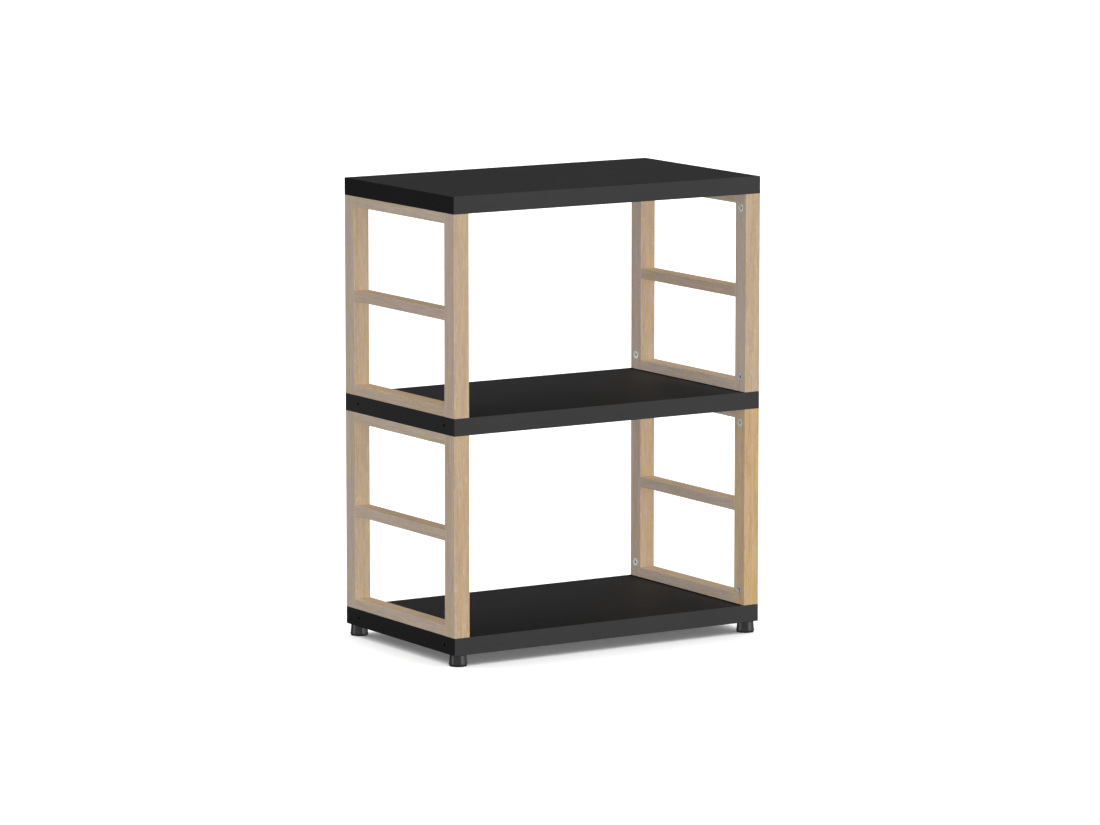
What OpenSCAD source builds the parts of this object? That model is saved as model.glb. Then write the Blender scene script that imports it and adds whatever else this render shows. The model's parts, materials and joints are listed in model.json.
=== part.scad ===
// Desk hutch: an open shelf unit of three boards on four wooden ladder frames.
// Origin: on the floor, under the middle of the unit. +X is to the right, -Y is the front, +Z is up.

/* [Boards] */
// Overall width, which is each board's length
unit_w = 618; // [420:1:1000]
// Overall depth, from front edge to back edge
unit_d = 364; // [300:1:450]
// Thickness of each board with its laminate
board_t = 30; // [28:1:40]
// Thickness of the bands glued on the boards' edges
band_t = 1; // [0.5:0.5:2]
// Clear height between two boards
bay_h = 345; // [200:1:420]

/* [Side frames] */
// Thickness of every stick of a side frame, across the unit
stick_t = 29.5; // [28:0.5:30.5]
// Depth of a post, from its front face to its rear face
post_d = 32; // [30:1:45]
// Height of each rail and of the rung between them
rail_h = 18; // [14:1:24]

/* [Frame dowels] */
// Diameter of a dowel
dowel_d = 6; // [5:1:6]
// How far a dowel stands in its post
dowel_in_post = 11; // [8:1:12]
// How far a dowel stands in its rail
dowel_in_rail = 19; // [12:1:30]
// Distance between the two dowels of a joint
dowel_gap = 14; // [14:1:16]

/* [Cam locks] */
// Diameter of a cam lock's hole
cam_d = 15; // [14:1:16]
// Depth of a cam lock's hole
cam_hole_depth = 20.5; // [20:0.5:22]
// Distance from the end of a post to the middle of its cam lock
cam_from_end = 25; // [24:0.5:34]
// Diameter of the hole for the connecting bolt in the end of a post
bolt_hole_d = 8; // [7.5:0.5:9]
// Diameter over the threads that hold the connecting bolt in the board
bolt_thread_d = 6.3; // [5:0.1:7]
// How far the connecting bolt is screwed into the board
bolt_thread_l = 11; // [8:0.5:12]

/* [Link holes] */
// Diameter of the holes in the short edges of the middle and bottom boards
link_hole_d = 5; // [4:0.5:6]
// Depth of those holes
link_hole_depth = 30; // [15:1:50]
// Distance from the front edge to the front holes
link_front = 34; // [25:1:80]
// Distance from the back edge to the rear holes
link_rear = 42; // [25:1:80]

/* [Feet] */
// Height from the floor to the underside of the bottom board
foot_h = 20; // [15:1:40]
// Diameter of a foot at its lower end
foot_bottom_d = 31.5; // [26:0.5:40]
// Diameter of a foot at its upper end
foot_top_d = 28; // [22:0.5:34]
// Distance from the board's edges to the middle of a foot
foot_inset = 16; // [16:0.5:30]
// Diameter of the levelling thread
stud_d = 8; // [6:1:8]
// How far a foot's stud reaches into the bottom board
stud_reach = 12.5; // [9:0.5:12.5]
// Thickness of the glide pad under a foot
pad_t = 2; // [1:0.5:3]

/* [Hidden] */
$fn = 64;
CUT = 1;                    // how far a cutting shape runs past the face it opens
RUN_FIT = 0.05;             // radial clearance of everything that turns in a hole
pitch = bay_h + board_t;

SIDES = [-1, 1];            // left and right, and also front and rear
BAYS = [0, 1];              // lower and upper
BAY_WORDS = ["lower", "upper"];
BOARDS = ["bottom_board", "middle_board", "top_board"];
TOP = len(BOARDS) - 1;
function side_word(s) = s < 0 ? "left" : "right";
function depth_word(s) = s < 0 ? "front" : "rear";
function board_z(level) = foot_h + level * pitch;          // underside of board 0, 1 or 2
function bay_z(level) = board_z(level) + board_t;          // floor of bay 0 or 1
function frame_word(level, s) = str(BAY_WORDS[level], "_", side_word(s));

seam = 0.1;                 // fine gap where two bands meet at a corner
core_w = unit_w - 2 * band_t;
core_d = unit_d - 2 * band_t;
rail_l = unit_d - 2 * post_d;
rung_z = (bay_h - rail_h) / 2;
RAIL_WORDS = ["bottom_rail", "rung", "top_rail"];
RAIL_Z = [0, rung_z, bay_h - rail_h];

// Middle of a stick across the unit, middle of a post front to back, and middle of a foot
stick_x = (unit_w - stick_t) / 2;
post_y = (unit_d - post_d) / 2;
foot_x = unit_w / 2 - foot_inset;
foot_y = unit_d / 2 - foot_inset;

// Cam lock: everything is centred on the bolt's line, at mid thickness of the post
cam_below = 0.5;            // space left under the cam in its hole
cam_l = cam_hole_depth - cam_below;
bolt_depth = stick_t / 2;
cam_edge = 0.3;             // chamfer round the cam's face
pocket_r = 4.9;             // pocket that the bolt's head moves in
pocket_off = 0.4;           // the pocket is off centre, and so it draws the head in
pocket_h = 8;
neck_slot_w = 5.5;
recess_w = 6.4;             // cross recess for the screwdriver
recess_t = 1.5;
recess_depth = 3;
tip_d = 2.6;                // hollow at the middle of the cross
notch_w = 1.2;              // sight mark on the rim that shows where the pocket opens
notch_l = 2;
notch_depth = 0.6;

// Connecting bolt, measured from the board's face
head_d = 7;
head_below = 1;             // from the head's middle to its end
head_above = 2;             // from the head's middle to the neck
head_round = 1;
head_shoulder = 0.5;
neck_d = 4.5;
neck_l = 8.2;               // the neck ends this far from the head's middle
neck_cone = 1;              // length over which the neck widens to the shaft
shaft_d = 7;
thread_hole_d = bolt_thread_d + 2 * RUN_FIT;
thread_step = 1.8;          // distance between two threads
thread_depth = 0.9;
thread_start = 0.3;         // plain length before the first thread
thread_flank = 0.54;        // half the width of a thread at its root
tip_l = 1.5;                // plain point of the thread
threads = floor((bolt_thread_l - tip_l) / thread_step);

dowel_l = dowel_in_post + dowel_in_rail;
dowel_chamfer = 0.8;
glue_space = 0.5;

// Foot
foot_gap = 0.3;             // between the foot and the board when it is screwed right in
foot_rim_h = 1.6;
foot_rim_d = foot_bottom_d - 1.4;
foot_rim_step = 0.4;        // height of the upright part under the rim's slope
foot_rim_slope = 0.4;
foot_round = 1;
hex_w = 13;                 // across the flats of the stud's moulded-in head
hex_h = 5;
hex_z = 8;                  // underside of that head
peg_d = 12;                 // the pad's peg, on which the foot turns
peg_h = 3.5;
peg_lip = 0.6;
pad_clear = 0.1;
pad_edge = 0.5;
insert_d = 12;
insert_l = 13;
insert_hole_depth = 14;
insert_lip_h = 1;
barb_start = 1.2;
barb_step = 2.6;
barb_rise = 0.8 * barb_step; // height of a barb's slope
barb_depth = 0.5;
barbs = 4;

// A turned shape from its half outline, as [radius, height] points.
module turned(points) {
    rotate_extrude()
        polygon(points);
}

// Puts its children at the four places (x, y) that mirror each other.
module at_corners(x, y) {
    for (s = SIDES, d = SIDES)
        translate([s * x, d * y, 0])
            children();
}

// Mirrors its children across the plane with the given normal when s is -1.
module flipped(normal, s) {
    mirror(s < 0 ? normal : [0, 0, 0])
        children();
}

// Turns its children so that their +Z points towards the bay from the frame on side s.
module facing_bay(s) {
    rotate([0, -s * 90, 0])
        children();
}

// ---- Boards ----

// Hole for a connecting bolt, mouth at z = 0, going down.
module bolt_thread_hole() {
    translate([0, 0, -bolt_thread_l - glue_space])
        cylinder(h = bolt_thread_l + glue_space + CUT, d = thread_hole_d);
}

// The holes that link two units side by side, through the edge bands.
module link_holes() {
    for (s = SIDES, y = [link_front - unit_d / 2, unit_d / 2 - link_rear])
        translate([s * (unit_w / 2 - link_hole_depth), y, board_t / 2])
            rotate([0, s * 90, 0])
                cylinder(h = link_hole_depth + CUT, d = link_hole_d);
}

module laminate_board(level) {
    color([0.14, 0.14, 0.15])
        translate([0, 0, board_z(level)])
            difference() {
                translate([-core_w / 2, -core_d / 2, 0])
                    cube([core_w, core_d, board_t]);
                if (level < TOP) {
                    link_holes();
                    translate([0, 0, board_t])
                        at_corners(stick_x, post_y) bolt_thread_hole();
                }
                if (level > 0)
                    at_corners(stick_x, post_y)
                        mirror([0, 0, 1]) bolt_thread_hole();
                if (level == 0)
                    at_corners(foot_x, foot_y)
                        translate([0, 0, -CUT])
                            cylinder(h = insert_hole_depth + CUT, d = insert_d);
            }
}

// Four bands: the long ones lie between the short ones.
module board_edging(level) {
    color([0.19, 0.19, 0.2])
        translate([0, 0, board_z(level)])
            difference() {
                union() {
                    for (s = SIDES) {
                        translate([s * (unit_w - band_t) / 2 - band_t / 2, -unit_d / 2, 0])
                            cube([band_t, unit_d, board_t]);
                        translate([seam - core_w / 2, s * (unit_d - band_t) / 2 - band_t / 2, 0])
                            cube([core_w - 2 * seam, band_t, board_t]);
                    }
                }
                if (level < TOP) link_holes();
            }
}

// ---- Side frames ----

// Holes for the two dowels of one joint. The joint face is y = 0, and the rail is towards -Y.
module dowel_pair_at_joint() {
    for (s = SIDES)
        translate([s * dowel_gap / 2, 0, rail_h / 2])
            children();
}

module dowel_hole() {
    translate([0, -dowel_in_rail - glue_space, 0])
        rotate([-90, 0, 0])
            cylinder(h = dowel_l + 2 * glue_space, d = dowel_d);
}

// The joints of a frame, seen from its rear post: children are drawn at each end of each rail.
module at_joints() {
    for (z = RAIL_Z, d = SIDES)
        translate([0, 0, z])
            flipped([0, 1, 0], d)
                translate([0, rail_l / 2, 0])
                    dowel_pair_at_joint() children();
}

module frame_place(level, s) {
    translate([s * stick_x, 0, bay_z(level)])
        children();
}

module post_holes(s) {
    for (e = SIDES)
        translate([0, 0, bay_h / 2])
            flipped([0, 0, 1], e)
                translate([0, 0, bay_h / 2]) {
                    translate([0, 0, -cam_from_end])
                        cylinder(h = cam_from_end + CUT, d = bolt_hole_d);
                    translate([-s * stick_t / 2, 0, -cam_from_end])
                        facing_bay(s)
                            translate([0, 0, -cam_hole_depth])
                                cylinder(h = cam_hole_depth + CUT, d = cam_d);
                }
}

module post(level, s, d) {
    color([0.78, 0.7, 0.58])
        frame_place(level, s)
            difference() {
                translate([0, d * post_y, 0])
                    difference() {
                        translate([-stick_t / 2, -post_d / 2, 0])
                            cube([stick_t, post_d, bay_h]);
                        post_holes(s);
                    }
                at_joints() dowel_hole();
            }
}

module rail(level, s, z) {
    color([0.78, 0.7, 0.58])
        frame_place(level, s)
            difference() {
                translate([-stick_t / 2, -rail_l / 2, z])
                    cube([stick_t, rail_l, rail_h]);
                at_joints() dowel_hole();
            }
}

module dowel() {
    translate([0, -dowel_in_rail, 0])
        rotate([-90, 0, 0])
            turned([
                [0, 0],
                [dowel_d / 2 - dowel_chamfer, 0],
                [dowel_d / 2, dowel_chamfer],
                [dowel_d / 2, dowel_l - dowel_chamfer],
                [dowel_d / 2 - dowel_chamfer, dowel_l],
                [0, dowel_l]
            ]);
}

module rail_dowels() {
    color([0.85, 0.75, 0.58])
        for (l = BAYS, s = SIDES)
            frame_place(l, s)
                at_joints() dowel();
}

// ---- Cam locks and connecting bolts ----

// A cam lock with its face at z = 0 and its bolt arriving along +X, in the locked position.
module cam() {
    r = cam_d / 2 - RUN_FIT;
    color([0.75, 0.75, 0.74])
        difference() {
            turned([
                [0, -cam_l],
                [r - cam_edge, -cam_l],
                [r, -cam_l + cam_edge],
                [r, -cam_edge],
                [r - cam_edge, 0],
                [0, 0]
            ]);
            translate([-pocket_off, 0, -bolt_depth - pocket_h / 2])
                cylinder(h = pocket_h, r = pocket_r);
            translate([-cam_d, -pocket_h / 2, -bolt_depth - pocket_h / 2])
                cube([cam_d - pocket_off, pocket_h, pocket_h]);
            translate([-cam_d, -cam_d, -bolt_depth - neck_slot_w / 2])
                cube([2 * cam_d, cam_d + neck_slot_w / 2, neck_slot_w]);
            for (turn = [0, 90])
                rotate([0, 0, 45 + turn])
                    translate([-recess_w / 2, -recess_t / 2, -recess_depth])
                        cube([recess_w, recess_t, recess_depth + CUT]);
            translate([0, 0, -recess_depth - CUT / 2])
                cylinder(h = recess_depth + CUT, d = tip_d);
            translate([r - notch_l, -notch_w / 2, -notch_depth])
                cube([notch_l + CUT, notch_w, notch_depth + CUT]);
        }
}

// A cam in its place: e is -1 at the lower end of the post and 1 at its upper end.
module cam_lock(level, s, d, e) {
    frame_place(level, s)
        translate([-s * stick_t / 2, d * post_y, bay_h / 2 + e * (bay_h / 2 - cam_from_end)])
            facing_bay(s)
                rotate([0, 0, s * e > 0 ? 0 : 180])
                    cam();
}

// A connecting bolt: the board's face is z = 0, and the head is towards -Z.
module connecting_bolt() {
    root_r = bolt_thread_d / 2 - thread_depth;
    turned(concat(
        [
            [0, -cam_from_end - head_below],
            [head_d / 2 - head_round, -cam_from_end - head_below],
            [head_d / 2, -cam_from_end - head_below + head_round],
            [head_d / 2, -cam_from_end + head_above - head_round],
            [head_d / 2 - head_shoulder, -cam_from_end + head_above],
            [neck_d / 2, -cam_from_end + head_above],
            [neck_d / 2, -cam_from_end + neck_l],
            [shaft_d / 2, -cam_from_end + neck_l + neck_cone],
            [shaft_d / 2, 0],
            [root_r, 0]
        ],
        [for (i = [0:threads - 1], step = [0, 1, 2])
            [step == 1 ? bolt_thread_d / 2 : root_r, thread_start + i * thread_step + step * thread_flank]],
        [
            [root_r, bolt_thread_l - tip_l / 2],
            [root_r / 2, bolt_thread_l],
            [0, bolt_thread_l]
        ]
    ));
}

module connecting_bolts() {
    color([0.72, 0.73, 0.75])
        for (l = BAYS)
            at_corners(stick_x, post_y) {
                translate([0, 0, board_z(l + 1)])
                    connecting_bolt();
                translate([0, 0, bay_z(l)])
                    mirror([0, 0, 1]) connecting_bolt();
            }
}

// ---- Feet ----

module foot_stud() {
    color([0.7, 0.71, 0.73]) {
        translate([0, 0, hex_z])
            cylinder(h = hex_h, d = hex_w / cos(30), $fn = 6);
        translate([0, 0, hex_z + hex_h])
            cylinder(h = foot_h + stud_reach - hex_z - hex_h, d = stud_d);
    }
}

module foot() {
    top = foot_h - foot_gap;
    low = pad_t + pad_clear;
    color([0.1, 0.1, 0.11])
        difference() {
            turned([
                [0, low],
                [foot_rim_d / 2, low],
                [foot_rim_d / 2, low + foot_rim_step],
                [foot_bottom_d / 2, low + foot_rim_step + foot_rim_slope],
                [foot_bottom_d / 2, low + foot_rim_h],
                [foot_top_d / 2, top - foot_round],
                [foot_top_d / 2 - foot_round, top],
                [0, top]
            ]);
            foot_stud();
            translate([0, 0, low - CUT])
                cylinder(h = peg_h + peg_lip + CUT, d = peg_d + 2 * RUN_FIT);
        }
}

module glide_pad() {
    color([0.06, 0.06, 0.06])
        turned([
            [0, 0],
            [foot_rim_d / 2 - pad_edge, 0],
            [foot_rim_d / 2, pad_edge],
            [foot_rim_d / 2, pad_t],
            [peg_d / 2, pad_t],
            [peg_d / 2, pad_t + peg_h],
            [0, pad_t + peg_h]
        ]);
}

module foot_inserts() {
    bore_r = stud_d / 2 + RUN_FIT;
    core_r = insert_d / 2 - barb_depth;
    color([0.8, 0.66, 0.36])
        translate([0, 0, foot_h])
            at_corners(foot_x, foot_y)
                turned(concat(
                    [
                        [bore_r, 0],
                        [insert_d / 2, 0],
                        [insert_d / 2, insert_lip_h]
                    ],
                    [for (i = [0:barbs - 1], tip = [0, 1])
                        [tip ? insert_d / 2 : core_r, barb_start + i * barb_step + tip * barb_rise]],
                    [
                        [core_r, insert_l],
                        [bore_r, insert_l]
                    ]
                ));
}

module foot_place(s, d) {
    translate([s * foot_x, d * foot_y, 0])
        children();
}

// ---- Drawing ----

for (l = [0:TOP]) {
    laminate_board(l);
    board_edging(l);
}
for (l = BAYS, s = SIDES) {
    frame = frame_word(l, s);
    for (i = [0:len(RAIL_WORDS) - 1])
        rail(l, s, RAIL_Z[i]);
    for (d = SIDES) {
        upright = str(frame, "_", depth_word(d));
        post(l, s, d);
        cam_lock(l, s, d, -1);
        cam_lock(l, s, d, 1);
    }
}
for (s = SIDES, d = SIDES) {
    corner = str(depth_word(d), "_", side_word(s));
    foot_place(s, d) foot();
    foot_place(s, d) foot_stud();
    foot_place(s, d) glide_pad();
}
rail_dowels();
connecting_bolts();
foot_inserts();
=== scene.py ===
"""Looks of the desk hutch.

Black laminated boards on oak ladder frames, with cam locks and levelling feet.
"""

import json
import math

import bmesh
import bpy
from mathutils import Matrix, Vector

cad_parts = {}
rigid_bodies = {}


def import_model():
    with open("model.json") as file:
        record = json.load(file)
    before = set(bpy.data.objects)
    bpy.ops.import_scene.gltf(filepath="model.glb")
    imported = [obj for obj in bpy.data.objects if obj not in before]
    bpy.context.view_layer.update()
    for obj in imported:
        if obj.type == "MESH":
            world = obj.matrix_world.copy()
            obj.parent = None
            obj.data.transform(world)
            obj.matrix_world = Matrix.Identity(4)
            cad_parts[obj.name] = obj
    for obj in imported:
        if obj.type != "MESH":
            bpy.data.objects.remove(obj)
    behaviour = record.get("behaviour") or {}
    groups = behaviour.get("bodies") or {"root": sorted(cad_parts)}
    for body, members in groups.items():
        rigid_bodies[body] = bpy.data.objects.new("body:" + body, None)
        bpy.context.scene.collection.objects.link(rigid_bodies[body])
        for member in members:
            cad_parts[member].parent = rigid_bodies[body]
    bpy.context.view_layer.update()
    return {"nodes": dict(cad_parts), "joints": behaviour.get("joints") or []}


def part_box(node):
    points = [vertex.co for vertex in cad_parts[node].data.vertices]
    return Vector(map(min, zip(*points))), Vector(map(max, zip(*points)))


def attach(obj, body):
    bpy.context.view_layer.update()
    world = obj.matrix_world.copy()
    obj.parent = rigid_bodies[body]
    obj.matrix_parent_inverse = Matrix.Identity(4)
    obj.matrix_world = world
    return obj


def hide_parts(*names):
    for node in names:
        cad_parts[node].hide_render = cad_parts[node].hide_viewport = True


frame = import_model()

MM = 0.001
LEVELS = ("lower", "upper")
SIDES = ("left", "right")
DEPTHS = ("front", "rear")
ROOT = "unit"

# ---------------------------------------------------------------- shader helpers


def shader_material(name):
    """A new material with one Principled shader, as (material, tree, shader)."""
    material = bpy.data.materials.new(name)
    material.use_nodes = True
    tree = material.node_tree
    tree.nodes.clear()
    output = tree.nodes.new("ShaderNodeOutputMaterial")
    shader = tree.nodes.new("ShaderNodeBsdfPrincipled")
    tree.links.new(shader.outputs["BSDF"], output.inputs["Surface"])
    return material, tree, shader


def feed(tree, socket, value):
    """Links a socket to the input, or sets the input to a constant."""
    if isinstance(value, bpy.types.NodeSocket):
        tree.links.new(value, socket)
    else:
        socket.default_value = value


def math_node(tree, operation, a, b=0.0):
    node = tree.nodes.new("ShaderNodeMath")
    node.operation = operation
    feed(tree, node.inputs[0], a)
    feed(tree, node.inputs[1], b)
    return node.outputs[0]


def product(tree, a, b):
    return math_node(tree, "MULTIPLY", a, b)


def total(tree, a, b):
    return math_node(tree, "ADD", a, b)


def vector_node(tree, operation, a, b=(0.0, 0.0, 0.0)):
    node = tree.nodes.new("ShaderNodeVectorMath")
    node.operation = operation
    feed(tree, node.inputs[0], a)
    feed(tree, node.inputs[1], b)
    return node.outputs["Value" if operation == "DOT_PRODUCT" else "Vector"]


def stretched(tree, point, scale):
    """The point with each axis multiplied, so that noise runs long along the smallest axis."""
    return vector_node(tree, "MULTIPLY", point, scale)


def noise(tree, point, scale=1.0, detail=3.0, roughness=0.5, distortion=0.0):
    node = tree.nodes.new("ShaderNodeTexNoise")
    feed(tree, node.inputs["Vector"], point)
    node.inputs["Scale"].default_value = scale
    node.inputs["Detail"].default_value = detail
    node.inputs["Roughness"].default_value = roughness
    node.inputs["Distortion"].default_value = distortion
    return node.outputs["Fac"]


def ranged(tree, value, low, high, to_low=0.0, to_high=1.0):
    """Maps low..high to to_low..to_high, clamped and eased."""
    node = tree.nodes.new("ShaderNodeMapRange")
    node.interpolation_type = "SMOOTHSTEP"
    feed(tree, node.inputs["Value"], value)
    node.inputs["From Min"].default_value = low
    node.inputs["From Max"].default_value = high
    node.inputs["To Min"].default_value = to_low
    node.inputs["To Max"].default_value = to_high
    return node.outputs["Result"]


def mixed(tree, factor, a, b, blend="MIX"):
    node = tree.nodes.new("ShaderNodeMix")
    node.data_type = "RGBA"
    node.blend_type = blend
    feed(tree, node.inputs[0], factor)
    feed(tree, node.inputs[6], a)
    feed(tree, node.inputs[7], b)
    return node.outputs[2]


def bump(tree, height, strength, distance, normal=None):
    node = tree.nodes.new("ShaderNodeBump")
    node.inputs["Strength"].default_value = strength
    node.inputs["Distance"].default_value = distance
    feed(tree, node.inputs["Height"], height)
    if normal is not None:
        tree.links.new(normal, node.inputs["Normal"])
    return node.outputs["Normal"]


def nook(tree, reach):
    """How open the surface is: 1 in the open, falling towards 0 in corners and recesses; used to
    paint shade into colours.
    """
    node = tree.nodes.new("ShaderNodeAmbientOcclusion")
    node.samples = 8
    node.inputs["Distance"].default_value = reach
    return node.outputs["AO"]


def piece_chance(tree):
    """A number from 0 to 1 that differs from piece to piece."""
    return tree.nodes.new("ShaderNodeObjectInfo").outputs["Random"]


PIECE_SHIFT = (3.1, 5.7, 7.3)


def object_point(tree):
    """A point in the piece's own frame, shifted by a different amount for each piece."""
    coords = tree.nodes.new("ShaderNodeTexCoord").outputs["Object"]
    chance = piece_chance(tree)
    shift = tree.nodes.new("ShaderNodeCombineXYZ")
    for socket, most in zip(shift.inputs, PIECE_SHIFT):
        feed(tree, socket, product(tree, chance, most))
    return vector_node(tree, "ADD", coords, shift.outputs[0])


# ---------------------------------------------------------------- materials

CORNER_REACH = 30 * MM
RECESS_REACH = 3.5 * MM

# The light and the dark wood of each tone.
OAK_TONES = {
    "pale": ((0.635, 0.480, 0.320), (0.510, 0.370, 0.228)),
    "warm": ((0.645, 0.475, 0.300), (0.515, 0.358, 0.208)),
    "golden": ((0.690, 0.470, 0.245), (0.530, 0.335, 0.155)),
}
# How fine each kind of mark is, in noise steps per metre: x, y, then along the grain.
OAK_BANDS = (75.0, 60.0, 3.5)
OAK_STREAKS = (330.0, 330.0, 24.0)
OAK_TINTS = (250.0, 270.0, 19.0)
OAK_FIBRES = (2400.0, 2400.0, 60.0)
OAK_PORES = (2600.0, 2600.0, 110.0)
OAK_FLECKS = (260.0, 900.0, 70.0)
OAK_RUBBING = 130.0
YELLOWISH = (1.02, 1.01, 0.90, 1.0)
PINKISH = (0.98, 0.965, 1.07, 1.0)
FLECK_COLOUR = (0.78, 0.66, 0.5, 1.0)
PORE_COLOUR = (0.27, 0.18, 0.105, 1.0)
RUBBED_OAK = (0.8, 0.69, 0.55, 1.0)
OAK_GLOSS = 0.3


def oak(tone, along, worn=False):
    """Lacquered oak, grained along one axis: year bands, streaks, fibres, pores and ray flecks."""
    material, tree, shader = shader_material(f"oak_{tone}_{along}" + ("_arris" if worn else ""))
    light, dark = OAK_TONES[tone]
    point, chance = object_point(tree), piece_chance(tree)
    if along == "y":
        parts = tree.nodes.new("ShaderNodeSeparateXYZ")
        feed(tree, parts.inputs[0], point)
        turned = tree.nodes.new("ShaderNodeCombineXYZ")
        feed(tree, turned.inputs[0], parts.outputs[0])
        feed(tree, turned.inputs[1], parts.outputs[2])
        feed(tree, turned.inputs[2], parts.outputs[1])
        point = turned.outputs[0]

    bands = noise(tree, stretched(tree, point, OAK_BANDS), detail=2.0, distortion=0.8)
    streaks = noise(
        tree, stretched(tree, point, OAK_STREAKS), detail=3.0, roughness=0.6, distortion=0.4
    )
    tints = noise(tree, stretched(tree, point, OAK_TINTS), detail=2.0, distortion=0.5)
    fibres = noise(tree, stretched(tree, point, OAK_FIBRES), detail=2.0)
    pores = noise(tree, stretched(tree, point, OAK_PORES), detail=1.0)
    flecks = noise(tree, stretched(tree, point, OAK_FLECKS), detail=1.0)

    band = ranged(tree, bands, 0.34, 0.68)
    streak = ranged(tree, streaks, 0.38, 0.62)
    early_wood = ranged(tree, bands, 0.38, 0.6, 0.3, 1.0)
    pore = product(tree, ranged(tree, pores, 0.58, 0.67), early_wood)
    fleck = ranged(tree, flecks, 0.62, 0.71)

    share = total(tree, product(tree, band, 0.3), product(tree, streak, 0.45))
    share = total(tree, share, product(tree, fibres, 0.25))
    colour = mixed(tree, share, (*light, 1.0), (*dark, 1.0))
    yellow_pink = mixed(tree, ranged(tree, tints, 0.4, 0.6), YELLOWISH, PINKISH)
    colour = mixed(tree, 1.0, colour, yellow_pink, "MULTIPLY")
    colour = mixed(tree, product(tree, fleck, 0.25), colour, FLECK_COLOUR)
    colour = mixed(tree, product(tree, pore, 0.38), colour, PORE_COLOUR)
    tint = tree.nodes.new("ShaderNodeHueSaturation")
    feed(tree, tint.inputs["Color"], colour)
    feed(tree, tint.inputs["Hue"], total(tree, 0.495, product(tree, chance, 0.010)))
    feed(tree, tint.inputs["Value"], total(tree, 0.98, product(tree, chance, 0.04)))
    colour = tint.outputs["Color"]
    if worn:
        rubbed = ranged(tree, noise(tree, point, OAK_RUBBING, detail=3.0), 0.42, 0.62)
        colour = mixed(tree, product(tree, rubbed, 0.3), colour, RUBBED_OAK)
    feed(tree, shader.inputs["Base Color"], colour)
    rough = total(tree, 0.5, product(tree, streak, 0.1))
    rough = total(tree, rough, product(tree, pore, 0.15))
    feed(tree, shader.inputs["Roughness"], rough)
    shader.inputs["Specular IOR Level"].default_value = OAK_GLOSS
    relief = total(tree, fibres, product(tree, pore, -1.5))
    fine = bump(tree, relief, 0.25, 0.08 * MM)
    feed(tree, shader.inputs["Normal"], bump(tree, streak, 0.12, 0.15 * MM, fine))
    return material


CLOUD_SCALE, PEARL_SCALE, DOT_SCALE, BLACK_RUBBING = 9.0, 1500.0, 620.0, 90.0
RUBBED_BLACK = (0.045, 0.045, 0.046, 1.0)
# Colour of the painted shade in corners and where the frames stand on the boards.
PAINTED_SHADE_BLACK = (0.002, 0.002, 0.002, 1.0)


def black_laminate(name, shade, roughness, gloss, pearl, worn=False):
    """Satin black: a fine pearl texture, faint clouds in the gloss, and painted shade that darkens
    colour and gloss in corners and along contact lines.
    """
    material, tree, shader = shader_material(name)
    point = object_point(tree)
    cloud = noise(tree, point, CLOUD_SCALE, detail=4.0)
    grain = noise(tree, point, PEARL_SCALE, detail=2.0, roughness=0.6)
    dots = noise(tree, point, DOT_SCALE, detail=1.0)
    low = tuple(shade * c for c in (0.82, 0.82, 0.83))
    high = tuple(shade * c for c in (1.2, 1.2, 1.21))
    colour = mixed(tree, ranged(tree, grain, 0.3, 0.7), (*low, 1.0), (*high, 1.0))
    if worn:
        rubbed = ranged(tree, noise(tree, point, BLACK_RUBBING, detail=4.0), 0.5, 0.7)
        colour = mixed(tree, product(tree, rubbed, 0.5), colour, RUBBED_BLACK)
    # Painted shade: the colour turns near black and the gloss dims in corners and along the lines
    # where the frames stand on the board.
    unshaded_share = ranged(tree, nook(tree, CORNER_REACH), 0.52, 0.9)
    colour = mixed(tree, unshaded_share, PAINTED_SHADE_BLACK, colour)
    feed(tree, shader.inputs["Base Color"], colour)
    feed(tree, shader.inputs["Specular IOR Level"], product(tree, unshaded_share, gloss))
    rough = total(tree, roughness - 0.05, product(tree, cloud, 0.1))
    rough = total(tree, rough, product(tree, grain, 0.06))
    feed(tree, shader.inputs["Roughness"], rough)
    fine = bump(tree, grain, 0.3, 0.06 * MM * pearl)
    feed(tree, shader.inputs["Normal"], bump(tree, dots, 0.25, 0.09 * MM * pearl, fine))
    return material


def mottled(tree, pattern, dark, light):
    """Two colours, mixed by the middle of a noise pattern's range."""
    return mixed(tree, ranged(tree, pattern, 0.35, 0.65), dark, light)


ZINC_COLOURS = (0.66, 0.67, 0.67, 1.0), (0.80, 0.805, 0.80, 1.0)
# Colour of the painted shade inside the cam's recess.
PAINTED_RECESS_SHADE = (0.10, 0.10, 0.105, 1.0)
CAST_SCALE, PATCH_SCALE = 1100.0, 240.0


def die_cast_zinc():
    """Dull bright zinc with a cast grain and mottling, and painted shade inside its recess."""
    material, tree, shader = shader_material("zinc_die_cast")
    point = object_point(tree)
    cast = noise(tree, point, CAST_SCALE, detail=3.0, roughness=0.6)
    patch = noise(tree, point, PATCH_SCALE, detail=3.0)
    # Painted shade: the cross recess and other hollows turn dark grey.
    unshaded_share = ranged(tree, nook(tree, RECESS_REACH), 0.6, 0.98)
    colour = mixed(tree, unshaded_share, PAINTED_RECESS_SHADE, mottled(tree, patch, *ZINC_COLOURS))
    feed(tree, shader.inputs["Base Color"], colour)
    shader.inputs["Metallic"].default_value = 0.6
    feed(tree, shader.inputs["Roughness"], ranged(tree, cast, 0.3, 0.7, 0.42, 0.56))
    feed(tree, shader.inputs["Normal"], bump(tree, cast, 0.25, 0.12 * MM))
    return material


STEEL_COLOURS = (0.56, 0.57, 0.58, 1.0), (0.70, 0.71, 0.70, 1.0)
DRAWN_MARKS = (2200.0, 2200.0, 160.0)
HAZE_SCALE = 180.0


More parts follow.
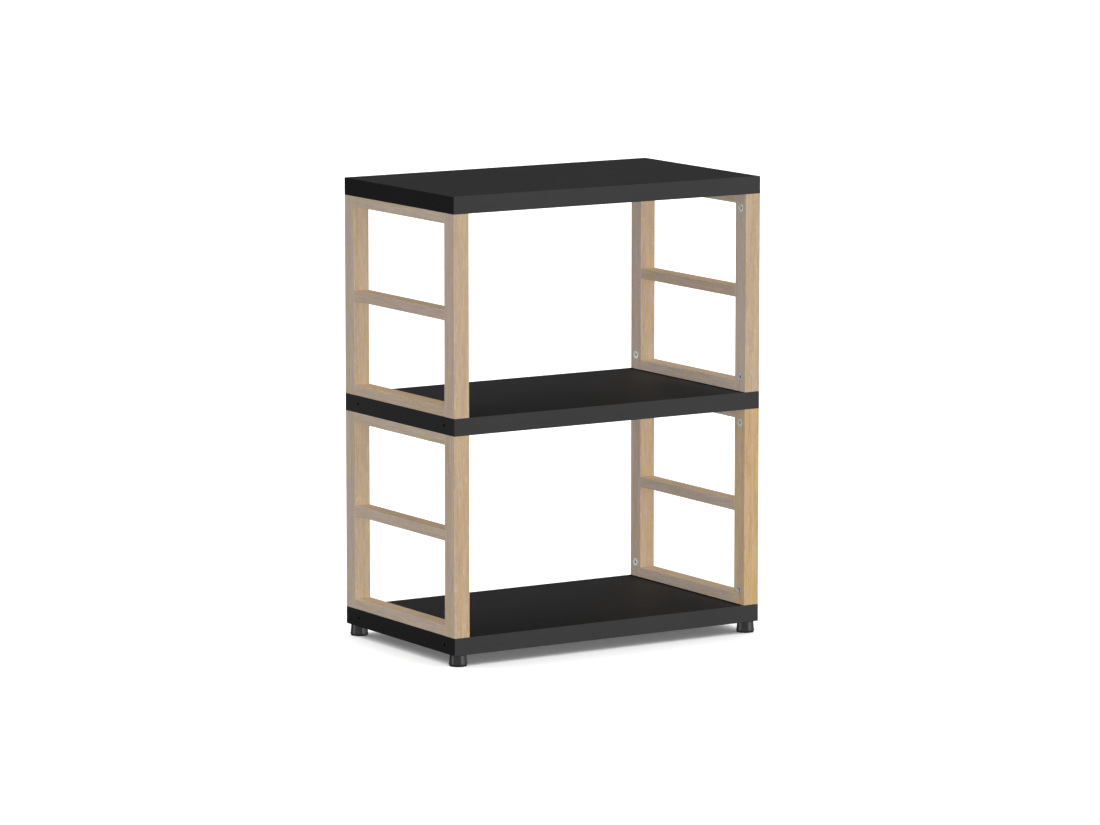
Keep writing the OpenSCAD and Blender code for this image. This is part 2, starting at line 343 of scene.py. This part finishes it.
def plated_steel():
    """Bright zinc-plated steel with drawn marks along its length."""
    material, tree, shader = shader_material("plated_steel")
    point = object_point(tree)
    drawn = noise(tree, stretched(tree, point, DRAWN_MARKS), detail=3.0)
    haze = noise(tree, point, HAZE_SCALE, detail=3.0)
    feed(tree, shader.inputs["Base Color"], mottled(tree, haze, *STEEL_COLOURS))
    shader.inputs["Metallic"].default_value = 1.0
    feed(tree, shader.inputs["Roughness"], ranged(tree, drawn, 0.3, 0.7, 0.24, 0.4))
    feed(tree, shader.inputs["Normal"], bump(tree, drawn, 0.2, 0.06 * MM))
    return material


BRASS_COLOURS = (0.62, 0.44, 0.16, 1.0), (0.78, 0.60, 0.27, 1.0)
TURNING_MARKS = (120.0, 120.0, 2600.0)


def brass():
    """Turned brass with fine rings."""
    material, tree, shader = shader_material("turned_brass")
    rings = noise(tree, stretched(tree, object_point(tree), TURNING_MARKS), detail=2.0)
    colour = mixed(tree, ranged(tree, rings, 0.3, 0.7), *BRASS_COLOURS)
    feed(tree, shader.inputs["Base Color"], colour)
    shader.inputs["Metallic"].default_value = 1.0
    feed(tree, shader.inputs["Roughness"], ranged(tree, rings, 0.3, 0.7, 0.25, 0.42))
    feed(tree, shader.inputs["Normal"], bump(tree, rings, 0.2, 0.06 * MM))
    return material


BEECH_COLOURS = (0.68, 0.49, 0.31, 1.0), (0.55, 0.37, 0.22, 1.0)
BEECH_FLECK = (0.36, 0.2, 0.11, 1.0)
BEECH_GRAIN = (1400.0, 30.0, 1400.0)
BEECH_FLECKS = (1700.0, 320.0, 1700.0)


def beech():
    """Pale beech for the dowels, with its small dark flecks."""
    material, tree, shader = shader_material("beech_dowel")
    point = object_point(tree)
    long_grain = noise(tree, stretched(tree, point, BEECH_GRAIN), detail=3.0)
    flecks = noise(tree, stretched(tree, point, BEECH_FLECKS), detail=1.0)
    colour = mixed(tree, long_grain, *BEECH_COLOURS)
    colour = mixed(tree, ranged(tree, flecks, 0.62, 0.7, 0.0, 0.6), colour, BEECH_FLECK)
    feed(tree, shader.inputs["Base Color"], colour)
    feed(tree, shader.inputs["Roughness"], ranged(tree, long_grain, 0.3, 0.7, 0.6, 0.75))
    feed(tree, shader.inputs["Normal"], bump(tree, long_grain, 0.3, 0.1 * MM))
    return material


UNEVEN_SCALE = 120.0


def moulded_plastic(name, shade, low, high, grain_scale, depth):
    """Black moulded plastic or rubber with a spark-eroded grain and slightly uneven gloss."""
    material, tree, shader = shader_material(name)
    point = object_point(tree)
    grain = noise(tree, point, grain_scale, detail=3.0, roughness=0.55)
    patch = noise(tree, point, UNEVEN_SCALE, detail=3.0)
    dark, light = (*[shade * 0.8] * 3, 1.0), (*[shade * 1.25] * 3, 1.0)
    colour = mixed(tree, ranged(tree, grain, 0.3, 0.7), dark, light)
    feed(tree, shader.inputs["Base Color"], colour)
    gloss = ranged(tree, grain, 0.3, 0.7, low, high)
    feed(tree, shader.inputs["Roughness"], total(tree, gloss, product(tree, patch, 0.06)))
    feed(tree, shader.inputs["Normal"], bump(tree, grain, 0.3, depth))
    return material


OAK = {
    (tone, along, worn): oak(tone, along, worn)
    for tone in OAK_TONES
    for along in ("y", "z")
    for worn in (False, True)
}
LAMINATE = black_laminate("black_laminate", 0.018, 0.6, 0.35, 1.0)
BAND = black_laminate("black_edge_band", 0.026, 0.48, 0.88, 0.6)
BAND_ARRIS = black_laminate("black_edge_band_arris", 0.026, 0.44, 0.88, 0.6, worn=True)
ZINC = die_cast_zinc()
STEEL = plated_steel()
BRASS = brass()
BEECH = beech()
FOOT_PLASTIC = moulded_plastic("foot_plastic", 0.035, 0.26, 0.36, 1300.0, 0.05 * MM)
PAD_RUBBER = moulded_plastic("glide_rubber", 0.010, 0.6, 0.75, 800.0, 0.12 * MM)

# ---------------------------------------------------------------- mesh helpers

FLAT_ANGLE = math.radians(0.6)
SHARP_ANGLE = math.radians(28)
WELD = 2e-6
ON_PLANE = 4e-6


def add_piece(name, mesh, materials, body, replaced, matrix=None, flat_normals=True):
    """Makes the object, gives it its looks, and rides it on its body in place of its CAD node."""
    piece = bpy.data.objects.new(name, mesh)
    bpy.context.scene.collection.objects.link(piece)
    if matrix is not None:
        piece.matrix_world = matrix
    if not mesh.materials:
        for material in materials:
            mesh.materials.append(material)
    mesh.shade_smooth()
    mesh.set_sharp_from_angle(angle=SHARP_ANGLE)
    if flat_normals:
        weighted = piece.modifiers.new("flat_faces", "WEIGHTED_NORMAL")
        weighted.keep_sharp = True
        weighted.weight = 100
    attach(piece, body)
    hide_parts(replaced)
    return piece


def planes_through(vert, low, high):
    """The box faces that a point lies on, as a set of (axis, 0 or 1)."""
    found = set()
    for axis in range(3):
        for end, limit in enumerate((low[axis], high[axis])):
            if abs(vert.co[axis] - limit) < ON_PLANE:
                found.add((axis, end))
    return found


def welded_copy(node):
    """The CAD node's mesh, its split corners welded and its flat triangles merged."""
    bm = bmesh.new()
    bm.from_mesh(frame["nodes"][node].data)
    bmesh.ops.remove_doubles(bm, verts=bm.verts, dist=WELD)
    bmesh.ops.dissolve_limit(
        bm, angle_limit=FLAT_ANGLE, use_dissolve_boundaries=False, verts=bm.verts, edges=bm.edges
    )
    return bm


def box_edges(bm, low, high, along=(0, 1, 2)):
    """Edges on two faces of the box at once, that run along one of the given axes."""
    found = []
    for edge in bm.edges:
        shared = planes_through(edge.verts[0], low, high) & planes_through(edge.verts[1], low, high)
        if len({axis for axis, end in shared}) < 2:
            continue
        run = edge.verts[1].co - edge.verts[0].co
        if max(range(3), key=lambda axis: abs(run[axis])) in along:
            found.append(edge)
    return found


def rim_edges(bm, low, high, axis):
    """Rims of holes in the two box faces square to an axis."""
    found = []
    for edge in bm.edges:
        shared = planes_through(edge.verts[0], low, high) & planes_through(edge.verts[1], low, high)
        if {a for a, end in shared} != {axis} or len(edge.link_faces) != 2:
            continue
        if edge.calc_face_angle(0.0) > SHARP_ANGLE:
            found.append(edge)
    return found


def ease(bm, edges, radius, steps, material=-1):
    """Rounds the edges."""
    if edges:
        bmesh.ops.bevel(
            bm,
            geom=edges,
            offset=radius,
            offset_type="OFFSET",
            segments=steps,
            profile=0.5,
            affect="EDGES",
            clamp_overlap=True,
            material=material,
        )


def to_mesh(bm, name):
    mesh = bpy.data.meshes.new(name)
    bmesh.ops.recalc_face_normals(bm, faces=bm.faces)
    bm.to_mesh(mesh)
    bm.free()
    return mesh


# ---------------------------------------------------------------- boards

PANEL_ARRIS = 0.12 * MM
BAND_ARRIS_R = 0.3 * MM
HOLE_EASE = 0.25 * MM


def add_board(name):
    """A laminated panel and, round it, its four edge bands with rounded arrises."""
    low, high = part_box(name)
    panel = welded_copy(name)
    ease(panel, box_edges(panel, low, high), PANEL_ARRIS, 1)
    add_piece(f"{name}_panel", to_mesh(panel, name), [LAMINATE], ROOT, name)
    edging = f"{name}_edging"
    low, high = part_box(edging)
    bands = welded_copy(edging)
    ease(bands, rim_edges(bands, low, high, 0), HOLE_EASE, 2, 1)
    ease(bands, box_edges(bands, low, high), BAND_ARRIS_R, 4, 1)
    looks = [BAND, BAND_ARRIS]
    add_piece(f"{name}_bands", to_mesh(bands, edging), looks, ROOT, edging)


for board in ("bottom_board", "middle_board", "top_board"):
    add_board(board)

# ---------------------------------------------------------------- side frames

POST_ARRIS = 0.7 * MM
JOINT_ARRIS = 0.15 * MM
CAM_RIM = 0.25 * MM
GOLDEN_PIECES = ("lower_right_front_post",)
WARM_PIECES = (
    "lower_right_rear_post",
    "upper_right_rung",
    "lower_left_front_post",
    "upper_left_bottom_rail",
)


def oak_tone(node):
    if node in GOLDEN_PIECES:
        return "golden"
    return "warm" if node in WARM_PIECES else "pale"


def add_stick(node, along):
    """A post (along z) or rail (along y): long edges eased, ends crisp where they meet others."""
    low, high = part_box(node)
    axis = "xyz".index(along)
    bm = welded_copy(node)
    if along == "z":
        ease(bm, rim_edges(bm, low, high, 0), CAM_RIM, 2, 1)
    ease(bm, box_edges(bm, low, high, [a for a in range(3) if a != axis]), JOINT_ARRIS, 1)
    ease(bm, box_edges(bm, low, high, [axis]), POST_ARRIS, 4, 1)
    tone = oak_tone(node)
    looks = [OAK[tone, along, False], OAK[tone, along, True]]
    add_piece(f"{node}_oak", to_mesh(bm, node), looks, ROOT, node)


for level in LEVELS:
    for side in SIDES:
        for depth in DEPTHS:
            add_stick(f"{level}_{side}_{depth}_post", "z")
        for rail in ("bottom_rail", "rung", "top_rail"):
            add_stick(f"{level}_{side}_{rail}", "y")

for node, look in (("rail_dowels", BEECH), ("connecting_bolts", STEEL), ("foot_inserts", BRASS)):
    mesh = frame["nodes"][node].data
    mesh.materials.clear()
    mesh.materials.append(look)

# ---------------------------------------------------------------- turned and cut shapes


def rounded(corners, steps=5):
    """An outline of (radius, height, fillet) corners with each corner rounded by its fillet."""
    outline = []
    count = len(corners)
    for i, (r, z, fillet) in enumerate(corners):
        here = Vector((r, z))
        if fillet <= 0:
            outline.append((r, z))
            continue
        before = (Vector(corners[i - 1][:2]) - here).normalized()
        after = (Vector(corners[(i + 1) % count][:2]) - here).normalized()
        half = before.angle(after) / 2
        reach = fillet / math.tan(half)
        centre = here + (before + after).normalized() * fillet / math.sin(half)
        start = here + before * reach - centre
        end = here + after * reach - centre
        turn = start.angle_signed(end)
        for step in range(steps + 1):
            angle = -turn * step / steps
            c, s = math.cos(angle), math.sin(angle)
            x = centre.x + c * start.x - s * start.y
            outline.append((x, centre.y + s * start.x + c * start.y))
    return outline


def lathe(outline, sides, bm=None):
    """Turns a closed outline of (radius, height) round the z axis."""
    bm = bm or bmesh.new()
    rings = []
    for r, z in outline:
        if r < 1e-9:
            rings.append([bm.verts.new((0, 0, z))] * sides)
        else:
            turns = [2 * math.pi * k / sides for k in range(sides)]
            rings.append([bm.verts.new((r * math.cos(t), r * math.sin(t), z)) for t in turns])
    for ring, following in zip(rings, rings[1:] + rings[:1]):
        for k in range(sides):
            corners = [ring[k], ring[(k + 1) % sides], following[(k + 1) % sides], following[k]]
            face = [v for i, v in enumerate(corners) if v not in corners[:i]]
            if len(face) > 2:
                bm.faces.new(face)
    bmesh.ops.recalc_face_normals(bm, faces=bm.faces)
    return bm


def block(low, high):
    """A box between two corners."""
    bm = bmesh.new()
    size = [b - a for a, b in zip(low, high)]
    middle = [(a + b) / 2 for a, b in zip(low, high)]
    place = Matrix.Translation(middle) @ Matrix.Diagonal((*size, 1))
    bmesh.ops.create_cube(bm, size=1.0, matrix=place)
    return bm


def cut(body, tools):
    """The body bmesh with each tool bmesh cut away, as a mesh."""
    scene = bpy.context.scene.collection.objects
    mesh = to_mesh(body, "cut_body")
    obj = bpy.data.objects.new("cut_body", mesh)
    scene.link(obj)
    cutters = []
    for tool in tools:
        cutter = bpy.data.objects.new("cutter", to_mesh(tool, "cutter"))
        scene.link(cutter)
        cutters.append(cutter)
        boolean = obj.modifiers.new("cut", "BOOLEAN")
        boolean.operation = "DIFFERENCE"
        boolean.solver = "EXACT"
        boolean.object = cutter
    bpy.context.view_layer.update()
    graph = bpy.context.evaluated_depsgraph_get()
    result = bpy.data.meshes.new_from_object(obj.evaluated_get(graph))
    for used in (obj, *cutters):
        bpy.data.objects.remove(used)
    return result


# ---------------------------------------------------------------- cam locks

CAM_R = 7.42 * MM
CAM_L = 20.0 * MM
CAM_SIDES = 72
FACE_R, DISH_DEPTH = 5.5 * MM, 0.45 * MM
CUP_R, CUP_FLOOR_R, CUP_DEPTH = 2.7 * MM, 2.2 * MM, 1.0 * MM
BOLT_DEPTH = 14.75 * MM
POCKET_R, POCKET_HALF, POCKET_OFFSET = 4.9 * MM, 4.0 * MM, 0.4 * MM
POCKET_SIDES = 48
NECK_HALF = 2.75 * MM
PAST_SIDE = 9.0 * MM
SIGHT_START, SIGHT_END, SIGHT_HALF, SIGHT_TOP = 6.2 * MM, 8.5 * MM, 0.5 * MM, 1.0 * MM


def cross_recess(reach, width, deep_reach, deep_width, depth, top):
    """A cross with tapering arms, from top down to -depth."""
    bm = bmesh.new()
    loops = []
    for arm, half, z in ((reach, width / 2, top), (deep_reach, deep_width / 2, -depth)):
        corner = [(arm, -half), (arm, half), (half, half)]
        loop = []
        for quarter in range(4):
            angle = quarter * math.pi / 2
            c, s = round(math.cos(angle)), round(math.sin(angle))
            loop += [bm.verts.new((c * x - s * y, s * x + c * y, z)) for x, y in corner]
        loops.append(loop)
    upper, lower = loops
    bm.faces.new(upper)
    bm.faces.new(list(reversed(lower)))
    for k in range(len(upper)):
        following = (k + 1) % len(upper)
        bm.faces.new([lower[k], lower[following], upper[following], upper[k]])
    bmesh.ops.recalc_face_normals(bm, faces=bm.faces)
    eighth_turn = Matrix.Rotation(math.pi / 4, 3, "Z")
    bmesh.ops.rotate(bm, verts=bm.verts, cent=(0, 0, 0), matrix=eighth_turn)
    return bm


def cam_mesh():
    """A cam lock: raised rim, dished face, cross recess, sight mark and a pocket for the bolt."""
    outline = rounded(
        [
            (0, -CAM_L, 0),
            (CAM_R, -CAM_L, 0.4 * MM),
            (CAM_R, 0, 0.35 * MM),
            (FACE_R, 0, 0.15 * MM),
            (FACE_R - DISH_DEPTH, -DISH_DEPTH, 0.2 * MM),
            (CUP_R, -DISH_DEPTH, 0.15 * MM),
            (CUP_FLOOR_R, -CUP_DEPTH, 0.1 * MM),
            (0, -CUP_DEPTH, 0),
        ],
        steps=3,
    )
    floor, roof = -BOLT_DEPTH - POCKET_HALF, -BOLT_DEPTH + POCKET_HALF
    pocket = lathe([(0, floor), (POCKET_R, floor), (POCKET_R, roof), (0, roof)], POCKET_SIDES)
    bmesh.ops.translate(pocket, verts=pocket.verts, vec=(-POCKET_OFFSET, 0, 0))
    window = block((-PAST_SIDE, -POCKET_HALF, floor), (-POCKET_OFFSET, POCKET_HALF, roof))
    neck_slot = block(
        (-PAST_SIDE, -PAST_SIDE, -BOLT_DEPTH - NECK_HALF),
        (PAST_SIDE, NECK_HALF, -BOLT_DEPTH + NECK_HALF),
    )
    sight = block((SIGHT_START, -SIGHT_HALF, -SIGHT_HALF), (SIGHT_END, SIGHT_HALF, SIGHT_TOP))
    recess = cross_recess(
        reach=3.5 * MM,
        width=1.35 * MM,
        deep_reach=2.3 * MM,
        deep_width=0.9 * MM,
        depth=3.4 * MM,
        top=0.5 * MM,
    )
    return cut(lathe(outline, CAM_SIDES), [recess, sight, pocket, window, neck_slot])


CAM = cam_mesh()
for joint in frame["joints"]:
    if not joint["name"].endswith("_cam_turn"):
        continue
    node = joint["name"][: -len("_turn")]
    outward = Vector(joint["axis"])
    towards_board = Vector((0, 0, 1 if node.endswith("_top_cam") else -1))
    across = outward.cross(towards_board)
    turn = Matrix((towards_board, across, outward)).transposed().to_4x4()
    place = Matrix.Translation(joint["pos_m"]) @ turn
    add_piece(f"{node}_lock", CAM, [ZINC], joint["child"], node, place)

# ---------------------------------------------------------------- feet

FOOT_SIDES = 96
FOOT_TAPER = 1.75 * MM
PEG_R = 5.95 * MM
SOCKET_R, SOCKET_DEPTH = 6.05 * MM, 4.1 * MM
SHAFT_HOLE_R = 4.05 * MM
HEAD_HOLE_R, HEAD_HOLE_DROP, HEAD_HOLE_RISE = 7.55 * MM, 6.7 * MM, 5.9 * MM
PAD_THICKNESS, PAD_GROOVE = 2.0 * MM, 0.3 * MM
HEAD_R, HEAD_HEIGHT = 7.5 * MM, 5 * MM
THREAD_PITCH = 1.25 * MM
THREAD_CREST, THREAD_DEPTH = 3.98 * MM, 0.68 * MM
THREAD_SIDES = 40
THREAD_SINK = 0.2 * MM
RINGS_PER_TURN = 10
RUN_IN, POINT_LENGTH, POINT_DROP = 2 * MM, 1.2 * MM, 0.8 * MM


def foot_mesh(low, high):
    """A tapered foot: rounded top, a rim at its lower end, and hollows for its stud and pad."""
    top, base = high.z, low.z
    wide = (high.x - low.x) / 2
    narrow = wide - FOOT_TAPER
    socket, head_floor = base + SOCKET_DEPTH, base + HEAD_HOLE_RISE
    head_roof = top - HEAD_HOLE_DROP
    outline = rounded(
        [
            (0, socket, 0),
            (SOCKET_R, socket, 0.2 * MM),
            (SOCKET_R, base, 0.2 * MM),
            (wide - 0.7 * MM, base, 0.15 * MM),
            (wide, base + 0.8 * MM, 0.35 * MM),
            (wide, base + 2.1 * MM, 0.35 * MM),
            (wide - 0.45 * MM, base + 2.5 * MM, 0.3 * MM),
            (narrow, top, 1.0 * MM),
            (5.2 * MM, top, 0.3 * MM),
            (SHAFT_HOLE_R, top - 1.0 * MM, 0.1 * MM),
            (SHAFT_HOLE_R, head_roof, 0),
            (HEAD_HOLE_R, head_roof, 0),
            (HEAD_HOLE_R, head_floor, 0),
            (0, head_floor, 0),
        ]
    )
    return to_mesh(lathe(outline, FOOT_SIDES), "tapered_foot")


def pad_mesh(low, high):
    """A soft disc: rounded sole, two shallow grooves under it, and the peg its foot turns on."""
    wide = (high.x - low.x) / 2
    sole = low.z
    roof, upper = sole + PAD_GROOVE, sole + PAD_THICKNESS
    outline = [(0, roof)]
    outline += rounded(
        [(5.0 * MM, roof, 0.1 * MM), (5.4 * MM, sole, 0.15 * MM), (8.2 * MM, sole, 0.15 * MM)]
    )
    outline += [(8.6 * MM, roof), (9.4 * MM, roof)]
    outline += rounded(
        [
            (9.8 * MM, sole, 0),
            (wide, sole, 0.6 * MM),
            (wide, upper, 0.3 * MM),
            (6.0 * MM, upper, 0.2 * MM),
            (PEG_R, high.z, 0.4 * MM),
            (0, high.z, 0),
        ]
    )
    return to_mesh(lathe(outline, FOOT_SIDES), "glide_pad")


def thread_radius(z, turn, start, end):
    """The thread's radius at a height and a part of a turn, running in below and pointed above."""
    run_in = min(1.0, (z - start) / RUN_IN)
    point = min(1.0, (end - z) / POINT_LENGTH)
    phase = (z / THREAD_PITCH - turn) % 1.0
    tooth = min(1.0, max(0.0, 2.6 * abs(phase - 0.5) - 0.15))
    return THREAD_CREST - THREAD_DEPTH * tooth * run_in - (1 - point) * POINT_DROP


def stud_mesh(low, high):
    """A hexagon head and, above it, a shaft with a rolled thread."""
    head_top = low.z + HEAD_HEIGHT
    bm = bmesh.new()
    head = bmesh.ops.create_cone(
        bm,
        cap_ends=True,
        segments=6,
        radius1=HEAD_R,
        radius2=HEAD_R,
        depth=HEAD_HEIGHT,
        matrix=Matrix.Translation((0, 0, head_top - HEAD_HEIGHT / 2)),
    )
    ease(bm, list({e for v in head["verts"] for e in v.link_edges}), 0.3 * MM, 2)
    start, end = head_top - THREAD_SINK, high.z
    count = round((end - start) / THREAD_PITCH * RINGS_PER_TURN)
    rings = []
    for i in range(count + 1):
        z = start + (end - start) * i / count
        ring = []
        for k in range(THREAD_SIDES):
            turn = k / THREAD_SIDES
            r = thread_radius(z, turn, start, end)
            angle = 2 * math.pi * turn
            ring.append(bm.verts.new((r * math.cos(angle), r * math.sin(angle), z)))
        rings.append(ring)
    for ring, following in zip(rings, rings[1:]):
        for k in range(THREAD_SIDES):
            nxt = (k + 1) % THREAD_SIDES
            bm.faces.new([ring[k], ring[nxt], following[nxt], following[k]])
    bm.faces.new(list(reversed(rings[0])))
    bm.faces.new(rings[-1])
    return to_mesh(bm, "levelling_stud")

def local_box(node, centre):
    """The node's box, seen from the centre."""
    low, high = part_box(node)
    return low - centre, high - centre


for joint in frame["joints"]:
    if not joint["name"].endswith("_foot_turn"):
        continue
    corner = joint["name"][: -len("_foot_turn")]
    centre = Vector((joint["pos_m"][0], joint["pos_m"][1], 0))
    place = Matrix.Translation(centre)
    foot, pad, stud = f"{corner}_foot", f"{corner}_glide_pad", f"{corner}_foot_stud"
    add_piece(
        f"{foot}_moulding",
        foot_mesh(*local_box(foot, centre)),
        [FOOT_PLASTIC],
        joint["child"],
        foot,
        place,
    )
    add_piece(
        f"{stud}_thread",
        stud_mesh(*local_box(stud, centre)),
        [STEEL],
        joint["child"],
        stud,
        place,
    )
    add_piece(
        f"{pad}_disc",
        pad_mesh(*local_box(pad, centre)),
        [PAD_RUBBER],
        joint["parent"],
        pad,
        place,
    )

# ---------------------------------------------------------------- floor, light and camera

WHITE = (1.0, 1.0, 1.0)
FLOOR_HALF = 40.0
FLOOR_COLOUR = (0.93, 0.93, 0.93, 1.0)
FLOOR_GLOW = 0.14


def add_floor():
    """A wide pale floor with a slight glow, which lights nothing else."""
    bm = bmesh.new()
    bmesh.ops.create_grid(bm, x_segments=8, y_segments=8, size=FLOOR_HALF)
    mesh = bpy.data.meshes.new("floor")
    bm.to_mesh(mesh)
    bm.free()
    floor = bpy.data.objects.new("floor", mesh)
    bpy.context.scene.collection.objects.link(floor)
    material, tree, shader = shader_material("floor_white")
    shader.inputs["Base Color"].default_value = FLOOR_COLOUR
    shader.inputs["Roughness"].default_value = 1.0
    shader.inputs["Specular IOR Level"].default_value = 0.0
    shader.inputs["Emission Color"].default_value = (*WHITE, 1.0)
    shader.inputs["Emission Strength"].default_value = FLOOR_GLOW
    mesh.materials.append(material)
    floor.visible_diffuse = False
    floor.visible_glossy = False


BASE_LIGHT = 0.01
# Each lobe of soft sky light: the side it comes from, its cosine's power, and its strength.
SKY_LOBES = (
    ((-0.7, -0.7, 0.15), 4.0, 0.5),
    ((0.7, -0.7, 0.15), 4.0, 1.2),
    ((-0.7, 0.0, 0.7), 4.0, 0.3),
    ((0.265, 0.424, 0.866), 12.0, 1.05),
    ((0.7, 0.7, 0.15), 4.0, 0.09),
)


def lobe(tree, direction, towards, power, strength):
    """Soft light from one side of the sky: strength times a power of the cosine to that side."""
    cosine = vector_node(tree, "DOT_PRODUCT", direction, Vector(towards).normalized())
    facing = math_node(tree, "MAXIMUM", cosine, 0.0)
    return product(tree, math_node(tree, "POWER", facing, power), strength)


def add_sky():
    """A white backdrop for the camera, and soft lobes of studio light for everything else."""
    world = bpy.data.worlds.new("studio")
    bpy.context.scene.world = world
    world.use_nodes = True
    tree = world.node_tree
    tree.nodes.clear()
    output = tree.nodes.new("ShaderNodeOutputWorld")
    direction = tree.nodes.new("ShaderNodeTexCoord").outputs["Generated"]
    light = BASE_LIGHT
    for towards, power, strength in SKY_LOBES:
        light = total(tree, lobe(tree, direction, towards, power, strength), light)
    soft = tree.nodes.new("ShaderNodeBackground")
    feed(tree, soft.inputs["Strength"], light)
    soft.inputs["Color"].default_value = (*WHITE, 1.0)
    white = tree.nodes.new("ShaderNodeBackground")
    white.inputs["Strength"].default_value = 1.0
    pick = tree.nodes.new("ShaderNodeMixShader")
    feed(tree, pick.inputs[0], tree.nodes.new("ShaderNodeLightPath").outputs["Is Camera Ray"])
    tree.links.new(soft.outputs[0], pick.inputs[1])
    tree.links.new(white.outputs[0], pick.inputs[2])
    tree.links.new(pick.outputs[0], output.inputs["Surface"])


BLUISH, CREAM = (0.84, 1.0, 1.36), (1.0, 0.97, 0.9)
FOOT_PIECES = ("_moulding", "_disc")
# Each sun: its name, the endings of the names of what it lights, the side it shines from, its
# energy, colour and angle in degrees, and whether it casts shadows.
SUNS = (
    ("floor_light", "floor", (0.15, 0.3, 1.0), 4.1, WHITE, 130, True),
    ("front_fill", "_oak", (0, -1, 0), 1.25, WHITE, 60, False),
    ("left_fill", "_oak", (-1, 0, 0), 1.42, BLUISH, 60, False),
    ("top_fill", "_oak", (0, 0, 1), 1.2, CREAM, 60, False),
    ("cam_gloss", "_lock", (-0.65, 0.75, 0.1), 1.1, WHITE, 60, True),
    ("cam_fill", "_lock", (-0.9, -0.4, 0.15), 0.8, WHITE, 40, True),
    ("foot_gloss", FOOT_PIECES, (-0.96, 0.27, 0.2), 1.1, WHITE, 25, False),
    ("foot_edge_gloss", FOOT_PIECES, (0.47, -0.88, 0.15), 0.8, WHITE, 25, False),
)
PANEL_WIDTH, PANEL_HEIGHT, PANEL_ENERGY = 1.2, 0.36, 0.35
PANEL_PLACE = (-0.95, 1.02, 0.18)
PANEL_SIDE = (-0.53, 0.85, 0.0)


def shine(lamp, towards, endings):
    """Puts a lamp in the scene, shining from one side and only on objects with such names."""
    obj = bpy.data.objects.new(lamp.name, lamp)
    obj.rotation_mode = "QUATERNION"
    obj.rotation_quaternion = Vector(towards).to_track_quat("Z", "Y")
    bpy.context.scene.collection.objects.link(obj)
    lit = bpy.data.collections.new(f"{lamp.name}_receivers")
    for receiver in [o for o in bpy.context.scene.objects if o.name.endswith(endings)]:
        lit.objects.link(receiver)
    obj.light_linking.receiver_collection = lit
    return obj


def add_sun(name, endings, towards, energy, colour, angle, shadow):
    """A wide, even light from one side."""
    lamp = bpy.data.lights.new(name, "SUN")
    lamp.energy = energy
    lamp.color = colour
    lamp.angle = math.radians(angle)
    lamp.use_shadow = shadow
    shine(lamp, towards, endings)


def add_low_panel():
    """A dim panel standing behind and to the left, seen only as gloss on the board ends."""
    lamp = bpy.data.lights.new("low_panel", "AREA")
    lamp.shape = "RECTANGLE"
    lamp.size, lamp.size_y = PANEL_WIDTH, PANEL_HEIGHT
    lamp.energy = PANEL_ENERGY
    panel = shine(lamp, PANEL_SIDE, "_bands")
    panel.location = PANEL_PLACE
    panel.visible_camera = False


AIM = Vector((-0.0038, 0.0023, 0.389))
AZIMUTH = math.radians(-32.09)
ELEVATION = math.radians(8.47)
DISTANCE = 9.857
LENS = 186.04
SENSOR_WIDTH = 36.0
FAR_CLIP = 200.0


def add_camera():
    """The photograph's viewing angle, with no roll and no shift."""
    data = bpy.data.cameras.new("camera")
    data.lens = LENS
    data.sensor_width = SENSOR_WIDTH
    data.clip_end = FAR_CLIP
    camera = bpy.data.objects.new("camera", data)
    bpy.context.scene.collection.objects.link(camera)
    back = Vector(
        (
            math.sin(AZIMUTH) * math.cos(ELEVATION),
            -math.cos(AZIMUTH) * math.cos(ELEVATION),
            math.sin(ELEVATION),
        )
    )
    camera.location = AIM + back * DISTANCE
    camera.rotation_mode = "QUATERNION"
    camera.rotation_quaternion = (-back).to_track_quat("-Z", "Y")
    bpy.context.scene.camera = camera


add_sky()
add_floor()
for sun in SUNS:
    add_sun(*sun)
add_low_panel()
add_camera()
bpy.context.scene.view_settings.view_transform = "Standard"
